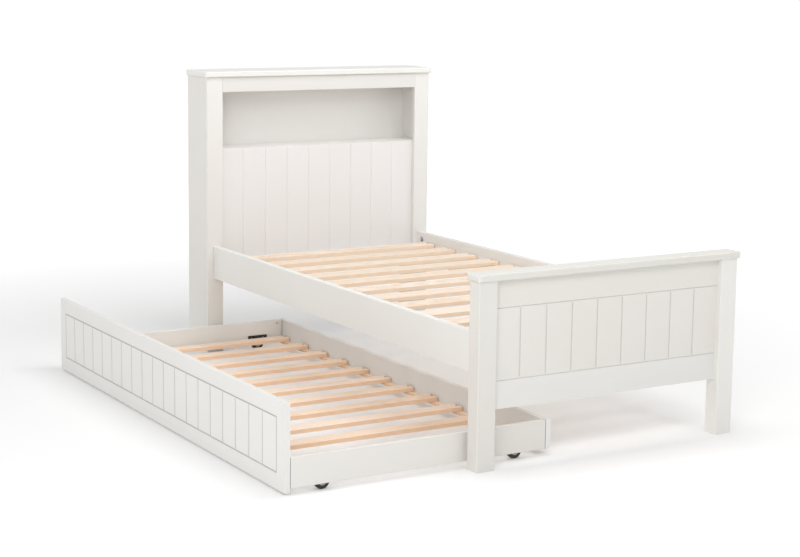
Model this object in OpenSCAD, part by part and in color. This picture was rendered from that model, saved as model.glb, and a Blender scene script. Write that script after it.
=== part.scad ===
// Single bed with a bookcase headboard, a panelled footboard and a trundle that rolls out
// from under its left side on four fixed wheels.
// X runs across the bed, Y from the foot to the head, and Z up from the floor.
// The trundle is drawn part way out, towards -X.

/* [Bed frame] */
// Width over the posts
bed_w = 1020; // [800:1:1500]
// Length from the front of the foot posts to the back of the headboard
bed_len = 2130; // [1500:1:2500]
// How far each cap stands proud of what it covers
cap_overhang = 9; // [2:1:20]
// Thickness of the caps
cap_t = 23; // [18:1:36]
// Radius of the eased edges of the painted boards
edge_ease = 2; // [0.5:0.5:3]
// Radius of the rounded edges of the caps
cap_ease = 5; // [1:0.5:6]

/* [Headboard] */
// Height from the floor to the underside of the cap
head_h = 1096; // [900:1:1400]
// Depth from the front of the stiles to the back
head_depth = 184; // [120:1:300]
// Width of each front stile
stile_w = 67; // [55:1:100]
// Thickness of the stiles and the top rail
stile_t = 20; // [17:1:30]
// Thickness of the side panels
side_t = 24; // [18:1:36]
// Height of the top rail over the niche
head_rail_h = 59; // [46:1:120]
// Height of the shelf's top face above the floor
shelf_z = 812; // [650:1:850]
// Thickness of the shelf
shelf_t = 18; // [12:1:30]
// Thickness of the grooved head panel
head_panel_t = 16; // [10:1:22]
// Number of planks that the head panel is grooved into
head_planks = 9; // [3:1:14]
// Thickness of the back panel
back_t = 12; // [6:1:18]

/* [Footboard] */
// Height from the floor to the underside of the cap
foot_h = 593; // [490:1:800]
// Width of each post, across the bed
post_w = 67; // [55:1:100]
// Depth of each post, along the bed
post_d = 55; // [45:1:90]
// How far the rails and the panel lie behind the front of the posts
foot_recess = 19; // [4:1:24]
// Thickness of the top and bottom rails
foot_rail_t = 20; // [16:1:26]
// Thickness of the grooved foot panel
foot_panel_t = 16; // [10:1:20]
// Height of the top rail
foot_top_rail_h = 89; // [50:1:110]
// Height of the bottom rail
foot_bottom_rail_h = 89; // [50:1:110]
// Height of the bottom rail's lower edge above the floor
foot_bottom_z = 188; // [120:1:230]
// Number of planks that the foot panel is grooved into
foot_planks = 9; // [3:1:14]

/* [Side rails and slats] */
// Thickness of the side rails
rail_t = 24; // [20:1:36]
// Height of the side rails
rail_h = 129; // [100:1:160]
// Height of the side rails' lower edge above the floor
rail_z = 298; // [290:1:340]
// How far the side rails lie inside the outer faces of the posts
rail_inset = 25; // [4:1:30]
// Height from the side rails' lower edge to the top of the slats
slat_rise = 92; // [60:1:100]
// Number of slats in the bed
bed_slat_count = 11; // [8:1:14]
// Space between the footboard and the first slat
bed_slat_foot_gap = 160; // [30:1:190]
// Space between the last slat and the headboard
bed_slat_head_gap = 88; // [30:1:150]
// Width of each slat in the bed
bed_slat_w = 80; // [40:1:96]
// Thickness of each slat
slat_t = 15; // [10:1:20]
// Space between a slat's end and the board beside it
slat_end_gap = 4; // [1:0.5:8]
// Width of the ledgers that carry the slats
ledger_w = 24; // [16:1:36]
// Height of the bed's ledgers
bed_ledger_h = 30; // [20:1:40]

/* [Grooves] */
// Width of the V grooves at the surface
groove_w = 5; // [2:0.5:8]
// Depth of the V grooves
groove_d = 2.5; // [1:0.5:4]

/* [Trundle] */
// How far the trundle is rolled out, measured from flush with the side rail
trundle_out = 644; // [0:1:900]
// Depth from the front face of the trundle to its back face
trundle_depth = 949; // [700:1:960]
// Space between the trundle and the posts at each end
trundle_end_gap = 20; // [8:1:40]
// Thickness of the front panel
front_t = 18; // [14:1:24]
// Height of the front panel
front_h = 273; // [200:1:280]
// Height of the front panel's lower edge above the floor
front_z = 5; // [3:1:12]
// Width of the plain border around the front panel's planks
front_border = 53; // [25:1:80]
// Number of planks that the front panel is grooved into
front_planks = 19; // [5:1:24]
// Thickness of the end boards and the back board
board_t = 18; // [14:1:24]
// Height of the end boards and the back board
board_h = 94; // [70:1:130]
// Height of those boards' lower edge above the floor
board_z = 19; // [15:1:24]
// Height from those boards' lower edge to the top of the slats
trundle_slat_rise = 31; // [26:1:40]
// Height of the trundle's ledgers
trundle_ledger_h = 12; // [10:1:16]
// Number of slats in the trundle
trundle_slat_count = 11; // [8:1:14]
// Width of each slat in the trundle
trundle_slat_w = 56; // [40:1:84]
// Space between the foot end's board and the first slat
trundle_slat_foot_gap = 140; // [20:1:180]
// Space between the last slat and the head end's board
trundle_slat_head_gap = 17; // [17:1:80]

/* [Wheels] */
// Diameter of the wheels
wheel_d = 50; // [41:1:60]
// Width of the wheels
wheel_w = 16; // [12:1:20]
// Wood left outside the pockets that the wheels stand in
skin_t = 4; // [3:0.5:6]
// Space around each wheel in its pocket
pocket_gap = 2; // [1:0.5:4]
// Diameter of the hubs
hub_d = 27; // [20:1:34]
// Diameter of the axle bolts
axle_d = 8; // [5:0.5:10]
// Radial clearance between an axle bolt and its hub
axle_fit = 0.05; // [0.02:0.01:0.1]
// Distance from the trundle's front or back face to the nearer wheels' axles
wheel_inset = 130; // [90:1:200]
// Space between a wheel and each cheek of its bracket
wheel_gap = 1.5; // [1:0.5:3]
// Space between a wheel and the bridge of its bracket
bridge_gap = 2; // [1:0.5:5]
// Thickness of the bracket's steel
bracket_t = 2; // [1.5:0.5:3]
// Width of the bracket's bridge and cheeks
cheek_w = 34; // [24:1:44]
// Width of the bracket's flange on each side of its pocket
flange_side = 15; // [12:1:20]

/* [Fixings] */
// Diameter of the bed bolts
bed_bolt_d = 8; // [6:1:10]
// Diameter of the threaded inserts that the bed bolts screw into
insert_d = 12; // [10:0.5:15]
// Length of the threaded inserts
insert_len = 16; // [12:1:19]
// Diameter of the round pockets in the side rails
pocket_d = 25; // [20:1:30]
// Depth of those pockets
pocket_depth = 18; // [15:1:21]
// Distance from a rail's end to the middle of its pockets
pocket_inset = 40; // [32:1:60]
// Distance from a rail's upper or lower edge to the middle of a pocket
pocket_edge = 30; // [20:1:36]
// Diameter of the wooden dowels
dowel_d = 8; // [5:1:10]
// Length of the wooden dowels
dowel_len = 30; // [20:1:40]
// Distance from a rail's edge to its nearest dowel
dowel_edge = 18; // [10:1:22]
// Diameter of the trundle's corner bolts
corner_bolt_d = 6; // [4:1:8]
// Length of the trundle's corner bolts under the head
corner_bolt_len = 52; // [44:1:64]
// Diameter of the barrel nuts
barrel_d = 10; // [8:1:12]
// Distance from a board's end to the middle of its barrel nut or cam lock
barrel_inset = 24; // [18:1:32]
// Distance from a board's upper or lower edge to a corner fixing
corner_edge = 14; // [11:1:20]
// Diameter of the cam locks
cam_d = 15; // [12:1:18]
// Diameter of the cam locks' pins
cam_pin_d = 7; // [5:0.5:8.5]
// Shank diameter of the wood screws
screw_d = 4; // [3:0.5:5]
// Head diameter of the wood screws
screw_head_d = 8; // [6:0.5:10]
// Number of screws in each ledger
ledger_screw_count = 6; // [3:1:9]
// Radial clearance around the hidden fixings
fixing_fit = 0.15; // [0.1:0.05:0.4]

/* [Hidden] */

paint = [0.91, 0.90, 0.87];
pine = [0.90, 0.74, 0.56];
zinc = [0.72, 0.73, 0.74];
dark_steel = [0.16, 0.16, 0.17];
brass = [0.78, 0.62, 0.32];
beech = [0.82, 0.66, 0.46];
black = [0.05, 0.05, 0.05];
hub_cream = [0.82, 0.80, 0.74];

arc_fn = 24;
wheel_fn = 64;
LEFT = -1;
RIGHT = 1;
SIDES = [LEFT, RIGHT];
// Lets a cut run past the face that it opens through
past = 1;

// Planes across the bed
post_x = bed_w / 2;
rail_out_x = post_x - rail_inset;
rail_in_x = rail_out_x - rail_t;
side_in_x = post_x - side_t;
post_in_x = post_x - post_w;
stile_in_x = post_x - stile_w;

// Planes along the bed
stile_y = bed_len - head_depth;
head_panel_y = stile_y + stile_t;
head_panel_back_y = head_panel_y + head_panel_t;
back_panel_y = bed_len - back_t;
foot_inner_y = foot_recess + foot_rail_t;
foot_panel_y = foot_recess;
rebate_w = side_t / 2;

// Heights
rail_top_z = rail_z + rail_h;
slat_top_z = rail_z + slat_rise;
slat_base_z = slat_top_z - slat_t;
niche_top_z = head_h - head_rail_h;
foot_top_rail_z = foot_h - foot_top_rail_h;
foot_panel_z = foot_bottom_z + foot_bottom_rail_h;

// The bed's slats, spread evenly between the two end gaps
bed_slat_first_y = foot_inner_y + bed_slat_foot_gap;
bed_slat_last_y = head_panel_y - bed_slat_head_gap - bed_slat_w;
bed_slat_pitch = (bed_slat_last_y - bed_slat_first_y) / (bed_slat_count - 1);
bed_slat_half = rail_in_x - slat_end_gap;

// The trundle, where it stands
front_x = -rail_out_x - trundle_out;
front_in_x = front_x + front_t;
trundle_back_x = front_x + trundle_depth;
back_in_x = trundle_back_x - board_t;
trundle_y = post_d + trundle_end_gap;
trundle_end_y = stile_y - trundle_end_gap;
end_in_y = trundle_y + board_t;
head_end_in_y = trundle_end_y - board_t;
board_top_z = board_z + board_h;
trundle_slat_top_z = board_z + trundle_slat_rise;
trundle_slat_base_z = trundle_slat_top_z - slat_t;
trundle_slat_first_y = end_in_y + trundle_slat_foot_gap;
trundle_slat_last_y = head_end_in_y - trundle_slat_head_gap - trundle_slat_w;
trundle_slat_pitch = (trundle_slat_last_y - trundle_slat_first_y) / (trundle_slat_count - 1);

// Wheels and brackets, with heights above the axle and distances from a board's inner face
wheel_r = wheel_d / 2;
wheel_front_x = front_x + wheel_inset;
wheel_back_x = trundle_back_x - wheel_inset;
wheel_sink = board_t - skin_t;
wheel_near = bracket_t + wheel_gap - wheel_sink;
bracket_depth = wheel_w + 2 * wheel_gap + 2 * bracket_t;
cheek_in_y = bracket_depth - wheel_sink;
bridge_low = wheel_r + bridge_gap;
bridge_top = bridge_low + bracket_t;
cheek_low = -0.75 * axle_d;
flange_low = board_z + past - wheel_r;
flange_top = bridge_top + 2 * bracket_t;
pocket_half = wheel_r + pocket_gap;
bracket_w = 2 * (pocket_half + flange_side);
axle_head_t = 4;
axle_head_d = 1.75 * axle_d;

// Fixings
// Wood left beyond the tip of a blind screw, pin or lock
blind_skin = 4;
nut_t = 6;
nut_d = 14;
washer_t = 6;
washer_h = 20;
// Space beside the washers in their pockets
washer_gap = 0.5;
// Space between a bed bolt's tip and the bottom of its insert
bolt_tip_gap = 2;
bolt_x = rail_in_x + pocket_depth / 2;
pocket_zs = [rail_z + pocket_edge, rail_top_z - pocket_edge];
corner_zs = [board_z + corner_edge, board_top_z - corner_edge];
bolt_head_d = corner_bolt_d * 2;
bolt_head_t = 4;
barrel_len = board_t - blind_skin;
cam_t = board_t - blind_skin;
cam_pin_sink = front_t - blind_skin;
screw_head_t = (screw_head_d - screw_d) / 2;
slat_screw_len = slat_t + trundle_ledger_h - blind_skin;
ledger_screw_len = ledger_w + min(board_t, front_t) - blind_skin;
bed_ledger_screw_len = ledger_w + rail_t - 2 * blind_skin;
caster_screw_len = bracket_t + board_t - blind_skin;
ledger_screw_edge = 60;
back_screw_count = 6;
back_screw_edge = 40;
back_screw_bite = 14;
back_screw_len = back_t + back_screw_bite;

// The middle of the floor area that the bed and the trundle cover together
frame_x = (post_x + cap_overhang + front_x) / 2;
frame_y = (bed_len - cap_overhang) / 2;

// ---- Shared shapes ----

module in_frame() {
    translate([-frame_x, -frame_y, 0]) children();
}

// A rectangle whose four corners are rounded
module eased_rect(w, h, r) {
    translate([r, 0]) square([w - 2 * r, h]);
    translate([0, r]) square([w, h - 2 * r]);
    for (x = [r, w - r], y = [r, h - r]) {
        translate([x, y]) circle(r = r, $fn = arc_fn);
    }
}

// Boards between two corners, with the four edges along one direction eased
module board_along_x(lo, hi, r = edge_ease) {
    size = hi - lo;
    translate(lo) rotate([90, 0, 90]) linear_extrude(size.x) eased_rect(size.y, size.z, r);
}

module board_along_y(lo, hi, r = edge_ease) {
    size = hi - lo;
    translate([lo.x, hi.y, lo.z])
        rotate([90, 0, 0]) linear_extrude(size.y) eased_rect(size.x, size.z, r);
}

module board_along_z(lo, hi, r = edge_ease) {
    size = hi - lo;
    translate(lo) linear_extrude(size.z) eased_rect(size.x, size.y, r);
}

// A plain board between two corners
module plain_board(lo, hi) {
    translate(lo) cube(hi - lo);
}

// A cap whose edges are rounded all the way round
module cap(lo, hi) {
    intersection() {
        board_along_x(lo, hi, cap_ease);
        board_along_y(lo, hi, cap_ease);
        board_along_z(lo, hi, 2 * cap_ease);
    }
}

// A rod along X, Y or Z that starts at p
module rod_x(p, len, d) {
    translate(p) rotate([0, 90, 0]) cylinder(h = len, d = d, $fn = arc_fn);
}

module rod_y(p, len, d) {
    translate(p) rotate([-90, 0, 0]) cylinder(h = len, d = d, $fn = arc_fn);
}

module rod_z(p, len, d) {
    translate(p) cylinder(h = len, d = d, $fn = arc_fn);
}

// The section of a V groove, cut into a face that lies on y = 0
module groove_section() {
    slope = groove_w / 2 / groove_d;
    polygon([
        [-groove_w / 2 - slope * past, -past],
        [groove_w / 2 + slope * past, -past],
        [0, groove_d]
    ]);
}

// V grooves in a face that looks towards -Y, standing up, or lying along X
module groove_up(x, y, z, len) {
    translate([x, y, z]) linear_extrude(len) groove_section();
}

module groove_across(x, y, z, len) {
    translate([x, y, z]) rotate([0, 90, 0]) linear_extrude(len) rotate(90) mirror([0, 1]) groove_section();
}

// A countersunk wood screw pointing down, with its head's face at the origin
module wood_screw(len) {
    translate([0, 0, -screw_head_t])
        cylinder(h = screw_head_t, d1 = screw_d, d2 = screw_head_d, $fn = arc_fn);
    translate([0, 0, -len]) cylinder(h = len - screw_head_t, d = screw_d, $fn = arc_fn);
}

// The hole that such a screw sits in
module screw_hole(len) {
    shank = screw_d + 2 * fixing_fit;
    mouth = screw_head_d + 4 * fixing_fit;
    translate([0, 0, -screw_head_t - fixing_fit])
        cylinder(h = screw_head_t + fixing_fit, d1 = shank, d2 = mouth, $fn = arc_fn);
    translate([0, 0, -len - fixing_fit]) cylinder(h = len, d = shank, $fn = arc_fn);
    cylinder(h = past, d = mouth, $fn = arc_fn);
}

// ---- Dowels ----

module headboard_dowel_set(grow = 0) {
    d = dowel_d + 2 * grow;
    len = dowel_len + 2 * grow;
    for (s = SIDES) {
        // Top rail into the stiles
        for (z = [niche_top_z + dowel_edge, head_h - dowel_edge]) {
            rod_x([s * stile_in_x - len / 2, stile_y + stile_t / 2, z], len, d);
        }
        // Shelf into the side panels
        for (y = [head_panel_back_y + dowel_edge, back_panel_y - dowel_edge]) {
            x = s * (side_in_x - dowel_len / 2 + side_t / 3);
            rod_x([x - len / 2, y, shelf_z - shelf_t / 2], len, d);
        }
        // Cap onto the side panels
        for (y = [head_panel_back_y + dowel_edge, back_panel_y - dowel_edge]) {
            rod_z([s * (post_x - side_t / 2), y, head_h - dowel_len / 2 - grow], len, d);
        }
    }
}

module footboard_dowel_set(grow = 0) {
    d = dowel_d + 2 * grow;
    len = dowel_len + 2 * grow;
    y = foot_recess + foot_rail_t / 2;
    for (s = SIDES) {
        // Rails into the posts
        for (z = [foot_bottom_z + dowel_edge, foot_panel_z - dowel_edge,
                  foot_top_rail_z + dowel_edge, foot_h - 2 * dowel_edge]) {
            rod_x([s * post_in_x - len / 2, y, z], len, d);
        }
        // Cap onto the posts
        rod_z([s * (post_x - post_w / 2), post_d / 2, foot_h - dowel_len / 2 - grow], len, d);
    }
}

// ---- Headboard ----

module headboard_stile(s) {
    lo_x = min(s * post_x, s * stile_in_x);
    color(paint) in_frame() difference() {
        board_along_z([lo_x, stile_y, 0], [lo_x + stile_w, head_panel_y, head_h]);
        headboard_dowel_set(fixing_fit);
        insert_set(fixing_fit);
    }
}

// The side panel runs behind the stile to the back, with a rebate for the back panel
module headboard_side(s) {
    lo_x = min(s * post_x, s * side_in_x);
    color(paint) in_frame() difference() {
        difference() {
            board_along_z([lo_x, head_panel_y, 0], [lo_x + side_t, bed_len, head_h]);
            back_panel_block(fixing_fit);
        }
        headboard_dowel_set(fixing_fit);
        back_screw_set() screw_hole(back_screw_len);
    }
}

module headboard_cap() {
    color(paint) in_frame() difference() {
        cap([-post_x - cap_overhang, stile_y - cap_overhang, head_h],
            [post_x + cap_overhang, bed_len, head_h + cap_t]);
        headboard_dowel_set(fixing_fit);
    }
}

module headboard_top_rail() {
    color(paint) in_frame() difference() {
        board_along_x([-stile_in_x, stile_y, niche_top_z], [stile_in_x, head_panel_y, head_h]);
        headboard_dowel_set(fixing_fit);
    }
}

module headboard_shelf() {
    color(paint) in_frame() difference() {
        plain_board([-side_in_x, head_panel_back_y, shelf_z - shelf_t], [side_in_x, back_panel_y, shelf_z]);
        headboard_dowel_set(fixing_fit);
    }
}

// The grooved panel closes the front below the niche, between the side panels
module headboard_panel() {
    pitch = 2 * stile_in_x / head_planks;
    color(paint) in_frame() difference() {
        board_along_x([-side_in_x, head_panel_y, rail_z], [side_in_x, head_panel_back_y, shelf_z]);
        for (i = [1:head_planks - 1]) {
            groove_up(-stile_in_x + i * pitch, head_panel_y, rail_z - past, shelf_z - rail_z + 2 * past);
        }
    }
}

module back_panel_block(grow = 0) {
    half = side_in_x + rebate_w + grow;
    plain_board([-half, back_panel_y, rail_z - grow], [half, bed_len + grow, head_h + grow]);
}

module headboard_back_panel() {
    color(paint) in_frame() difference() {
        back_panel_block();
        back_screw_set() screw_hole(back_screw_len);
    }
}

// Screws through the back panel into the side panels
module back_screw_set() {
    span = head_h - rail_z - 2 * back_screw_edge;
    for (s = SIDES, i = [0:back_screw_count - 1]) {
        z = rail_z + back_screw_edge + i * span / (back_screw_count - 1);
        translate([s * (side_in_x + rebate_w / 2), bed_len, z]) rotate([-90, 0, 0]) children();
    }
}

module headboard_dowels() {
    color(beech) in_frame() headboard_dowel_set();
}

module back_panel_screws() {
    color(zinc) in_frame() back_screw_set() wood_screw(back_screw_len);
}

// ---- Footboard ----

module footboard_post(s) {
    lo_x = min(s * post_x, s * post_in_x);
    color(paint) in_frame() difference() {
        board_along_z([lo_x, 0, 0], [lo_x + post_w, post_d, foot_h], edge_ease + 1);
        footboard_dowel_set(fixing_fit);
        insert_set(fixing_fit);
    }
}

module footboard_cap() {
    color(paint) in_frame() difference() {
        cap([-post_x - cap_overhang, -cap_overhang, foot_h],
            [post_x + cap_overhang, post_d + cap_overhang, foot_h + cap_t]);
        footboard_dowel_set(fixing_fit);
    }
}

// The fine V grooves between the panel and the two rails
module foot_seams() {
    len = 2 * post_in_x + 2 * past;
    for (z = [foot_panel_z, foot_top_rail_z]) {
        groove_across(-post_in_x - past, foot_recess, z, len);
    }
}

module foot_rail(z, h) {
    color(paint) in_frame() difference() {
        plain_board([-post_in_x, foot_recess, z], [post_in_x, foot_inner_y, z + h]);
        foot_seams();
        footboard_dowel_set(fixing_fit);
    }
}

module footboard_panel() {
    pitch = 2 * post_in_x / foot_planks;
    height = foot_top_rail_z - foot_panel_z;
    color(paint) in_frame() difference() {
        plain_board([-post_in_x, foot_panel_y, foot_panel_z],
                    [post_in_x, foot_panel_y + foot_panel_t, foot_top_rail_z]);
        foot_seams();
        for (i = [1:foot_planks - 1]) {
            x = -post_in_x + i * pitch;
            groove_up(x, foot_panel_y, foot_panel_z - past, height + 2 * past);
            translate([0, 2 * foot_panel_y + foot_panel_t, 0]) mirror([0, 1, 0])
                groove_up(x, foot_panel_y, foot_panel_z - past, height + 2 * past);
        }
    }
}

module footboard_dowels() {
    color(beech) in_frame() footboard_dowel_set();
}

// ---- Side rails, ledgers and slats ----

module at_rail_ends() {
    for (s = SIDES, z = pocket_zs) {
        translate([s * bolt_x, post_d, z]) children();
        translate([s * bolt_x, stile_y, z]) mirror([0, 1, 0]) children();
    }
}

// Everything at a rail's end is drawn from the joint face, with +Y into the rail
module insert_set(grow = 0) {
    in_depth = insert_len + grow;
    at_rail_ends() rod_y([0, -in_depth, 0], in_depth, insert_d + 2 * grow);
}

module bolt_set(grow = 0) {
    base = bolt_tip_gap - insert_len;
    tail = pocket_inset - pocket_d / 2 + washer_t + nut_t;
    at_rail_ends() rod_y([0, base, 0], tail - base, bed_bolt_d + 2 * grow);
}

// The pockets open through the rails' inner faces
module pocket_set() {
    for (s = SIDES, y = [post_d + pocket_inset, stile_y - pocket_inset], z = pocket_zs) {
        x = s > 0 ? rail_in_x - past : -rail_in_x - pocket_depth;
        rod_x([x, y, z], pocket_depth + past, pocket_d);
    }
}

module side_rail(s) {
    lo_x = min(s * rail_out_x, s * rail_in_x);
    color(paint) in_frame() difference() {
        board_along_y([lo_x, post_d, rail_z], [lo_x + rail_t, stile_y, rail_top_z]);
        pocket_set();
        bolt_set(fixing_fit);
        bed_ledger_screw_set() screw_hole(bed_ledger_screw_len);
    }
}

module bed_bolts() {
    color(zinc) in_frame() bolt_set();
}

// A crescent washer seated on the pocket's wall, with a hex nut behind it
module bed_bolt_nuts() {
    wall = pocket_inset - pocket_d / 2;
    reach = pocket_depth / 2 - washer_gap;
    color(zinc) in_frame() at_rail_ends() difference() {
        union() {
            intersection() {
                rod_x([-reach, pocket_inset, 0], 2 * reach, pocket_d - 2 * fixing_fit);
                translate([-reach, 0, -washer_h / 2]) cube([2 * reach, wall + washer_t, washer_h]);
            }
            translate([0, wall + washer_t, 0]) rotate([-90, 0, 0]) cylinder(h = nut_t, d = nut_d, $fn = 6);
        }
        rod_y([0, 0, 0], pocket_inset + pocket_d, bed_bolt_d + 2 * fixing_fit);
    }
}

module threaded_inserts() {
    color(brass) in_frame() difference() {
        insert_set();
        at_rail_ends()
            rod_y([0, -insert_len - past, 0], insert_len + 2 * past, bed_bolt_d + 2 * fixing_fit);
    }
}

// The ledgers run between the foot posts and the head stiles
module slat_ledger(s) {
    lo_x = min(s * rail_in_x, s * (rail_in_x - ledger_w));
    color(pine) in_frame() difference() {
        board_along_y([lo_x, post_d + slat_end_gap, slat_base_z - bed_ledger_h],
                [lo_x + ledger_w, stile_y - slat_end_gap, slat_base_z]);
        bed_slat_screw_set() screw_hole(slat_screw_len);
        bed_ledger_screw_set() screw_hole(bed_ledger_screw_len);
    }
}

module bed_slats() {
    color(pine) in_frame() difference() {
        for (i = [0:bed_slat_count - 1]) {
            y = bed_slat_first_y + i * bed_slat_pitch;
            board_along_x([-bed_slat_half, y, slat_base_z], [bed_slat_half, y + bed_slat_w, slat_top_z]);
        }
        bed_slat_screw_set() screw_hole(slat_screw_len);
    }
}

module bed_slat_screw_set() {
    for (s = SIDES, i = [0:bed_slat_count - 1]) {
        y = bed_slat_first_y + i * bed_slat_pitch + bed_slat_w / 2;
        translate([s * (rail_in_x - ledger_w / 2), y, slat_top_z]) children();
    }
}

module bed_ledger_screw_set() {
    span = stile_y - post_d - 2 * ledger_screw_edge;
    z = slat_base_z - bed_ledger_h / 2 - screw_d;
    for (s = SIDES, i = [0:ledger_screw_count - 1]) {
        y = post_d + ledger_screw_edge + (i + 0.5) * span / ledger_screw_count;
        translate([s * (rail_in_x - ledger_w), y, z]) rotate([0, s * -90, 0]) children();
    }
}

module bed_slat_screws() {
    color(dark_steel) in_frame() bed_slat_screw_set() wood_screw(slat_screw_len);
}

module ledger_screws() {
    color(dark_steel) in_frame() bed_ledger_screw_set() wood_screw(bed_ledger_screw_len);
}

// ---- Trundle ----

// Grooves in a face that looks towards -X
module front_groove_up(y, z, len) {
    translate([front_x, y, z]) linear_extrude(len) rotate(-90) mirror([1, 0]) groove_section();
}

module front_groove_along(y, z, len) {
    translate([front_x, y, z]) rotate([-90, 0, 0]) linear_extrude(len)
        rotate(-90) mirror([1, 0]) groove_section();
}

module trundle_front_panel() {
    lo = trundle_y + front_border;
    hi = trundle_end_y - front_border;
    base = front_z + front_border;
    top = front_z + front_h - front_border;
    pitch = (hi - lo) / front_planks;
    color(paint) in_frame() difference() {
        board_along_y([front_x, trundle_y, front_z], [front_in_x, trundle_end_y, front_z + front_h]);
        for (i = [0:front_planks]) {
            front_groove_up(lo + i * pitch, base, top - base);
        }
        for (z = [base, top]) {
            front_groove_along(lo - groove_w / 2, z, hi - lo + groove_w);
        }
        cam_pin_set(fixing_fit);
        trundle_front_screws() screw_hole(ledger_screw_len);
    }
}

module trundle_end_board(y) {
    color(paint) in_frame() difference() {
        board_along_x([front_in_x, y, board_z], [back_in_x, y + board_t, board_top_z]);
        corner_bolt_set(fixing_fit);
        barrel_set(fixing_fit);
        cam_lock_set(fixing_fit);
        cam_pin_set(fixing_fit);
        at_casters() {
            wheel_pocket();
            caster_screw_places() screw_hole(caster_screw_len);
        }
    }
}

module trundle_back_board() {
    color(paint) in_frame() difference() {
        board_along_y([back_in_x, trundle_y, board_z], [trundle_back_x, trundle_end_y, board_top_z]);
        corner_bolt_set(fixing_fit);
        trundle_back_screws() screw_hole(ledger_screw_len);
    }
}

// Places along both end boards, with +Y pointing into the trundle
module at_end_boards() {
    translate([0, trundle_y, 0]) children();
    translate([0, trundle_end_y, 0]) mirror([0, 1, 0]) children();
}

// Bolts through the back board into the end boards
module corner_bolt_set(grow = 0) {
    head_d = bolt_head_d + 2 * grow;
    at_end_boards() for (z = corner_zs) {
        rod_x([trundle_back_x - corner_bolt_len, board_t / 2, z], corner_bolt_len - bolt_head_t + grow,
              corner_bolt_d + 2 * grow);
        rod_x([trundle_back_x - bolt_head_t - grow, board_t / 2, z], bolt_head_t + 2 * grow, head_d);
    }
}

// Barrel nuts, let into the inner faces of the end boards
module barrel_set(grow = 0) {
    at_end_boards() for (z = corner_zs) {
        rod_y([back_in_x - barrel_inset, board_t - barrel_len - grow, z], barrel_len + 2 * grow,
              barrel_d + 2 * grow);
    }
}

// Cam locks, let into the inner faces of the end boards
module cam_lock_set(grow = 0) {
    at_end_boards() for (z = corner_zs) {
        rod_y([front_in_x + barrel_inset, board_t - cam_t - grow, z], cam_t + 2 * grow, cam_d + 2 * grow);
    }
}

// Pins that stand out of the front panel and reach into the cam locks
module cam_pin_set(grow = 0) {
    reach = barrel_inset - cam_d / 6;
    at_end_boards() for (z = corner_zs) {
        rod_x([front_in_x - cam_pin_sink, board_t / 2, z], cam_pin_sink + reach, cam_pin_d + 2 * grow);
    }
}

module trundle_corner_bolts() {
    color(zinc) in_frame() corner_bolt_set();
}

module trundle_barrel_nuts() {
    color(zinc) in_frame() difference() {
        barrel_set();
        corner_bolt_set(fixing_fit);
    }
}

module trundle_cam_locks() {
    color(zinc) in_frame() difference() {
        cam_lock_set();
        cam_pin_set(fixing_fit);
    }
}

module trundle_cam_pins() {
    color(zinc) in_frame() cam_pin_set();
}

module trundle_ledger(lo_x) {
    color(pine) in_frame() difference() {
        board_along_y([lo_x, end_in_y, trundle_slat_base_z - trundle_ledger_h],
                [lo_x + ledger_w, head_end_in_y, trundle_slat_base_z], edge_ease / 2);
        trundle_slat_screw_set() screw_hole(slat_screw_len);
        trundle_front_screws() screw_hole(ledger_screw_len);
        trundle_back_screws() screw_hole(ledger_screw_len);
    }
}

module trundle_slats() {
    color(pine) in_frame() difference() {
        for (i = [0:trundle_slat_count - 1]) {
            y = trundle_slat_first_y + i * trundle_slat_pitch;
            board_along_x([front_in_x + slat_end_gap, y, trundle_slat_base_z],
                    [back_in_x - slat_end_gap, y + trundle_slat_w, trundle_slat_top_z]);
        }
        trundle_slat_screw_set() screw_hole(slat_screw_len);
    }
}

module trundle_slat_screw_set() {
    for (x = [front_in_x + ledger_w / 2, back_in_x - ledger_w / 2], i = [0:trundle_slat_count - 1]) {
        y = trundle_slat_first_y + i * trundle_slat_pitch + trundle_slat_w / 2;
        translate([x, y, trundle_slat_top_z]) children();
    }
}

// Screws through each ledger into the board behind it, half way between two slats
module ledger_screw_places() {
    span = trundle_slat_count - 1;
    z = trundle_slat_base_z - trundle_ledger_h / 2;
    for (i = [0:ledger_screw_count - 1]) {
        step = floor((i + 0.5) * span / ledger_screw_count) + 0.5;
        y = trundle_slat_first_y + trundle_slat_w / 2 + step * trundle_slat_pitch;
        translate([0, y, z]) children();
    }
}

module trundle_front_screws() {
    translate([front_in_x + ledger_w, 0, 0]) ledger_screw_places() rotate([0, 90, 0]) children();
}

module trundle_back_screws() {
    translate([back_in_x - ledger_w, 0, 0]) ledger_screw_places() rotate([0, -90, 0]) children();
}

module trundle_slat_screws() {
    color(dark_steel) in_frame() trundle_slat_screw_set() wood_screw(slat_screw_len);
}

module trundle_ledger_screws() {
    color(dark_steel) in_frame() {
        trundle_front_screws() wood_screw(ledger_screw_len);
        trundle_back_screws() wood_screw(ledger_screw_len);
    }
}

// ---- Wheels ----

// A caster is drawn about its axle, from the end board's inner face, with +Y into the trundle
module at_caster(end, x) {
    if (end == "foot") {
        translate([x, end_in_y, wheel_r]) children();
    } else {
        translate([x, head_end_in_y, wheel_r]) mirror([0, 1, 0]) children();
    }
}

module at_casters() {
    for (end = ["foot", "head"], x = [wheel_front_x, wheel_back_x]) {
        at_caster(end, x) children();
    }
}

// The pocket that a wheel and its bracket stand in, open below and to the inside
module wheel_pocket() {
    low = board_z - past - wheel_r;
    translate([-pocket_half, -wheel_sink, low])
        cube([2 * pocket_half, wheel_sink + past, bridge_top + fixing_fit - low]);
}

module caster_screw_places() {
    for (s = SIDES) {
        x = s * (pocket_half + flange_side / 2);
        translate([x, bracket_t, (flange_low + flange_top) / 2]) rotate([-90, 0, 0]) children();
    }
}

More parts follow.
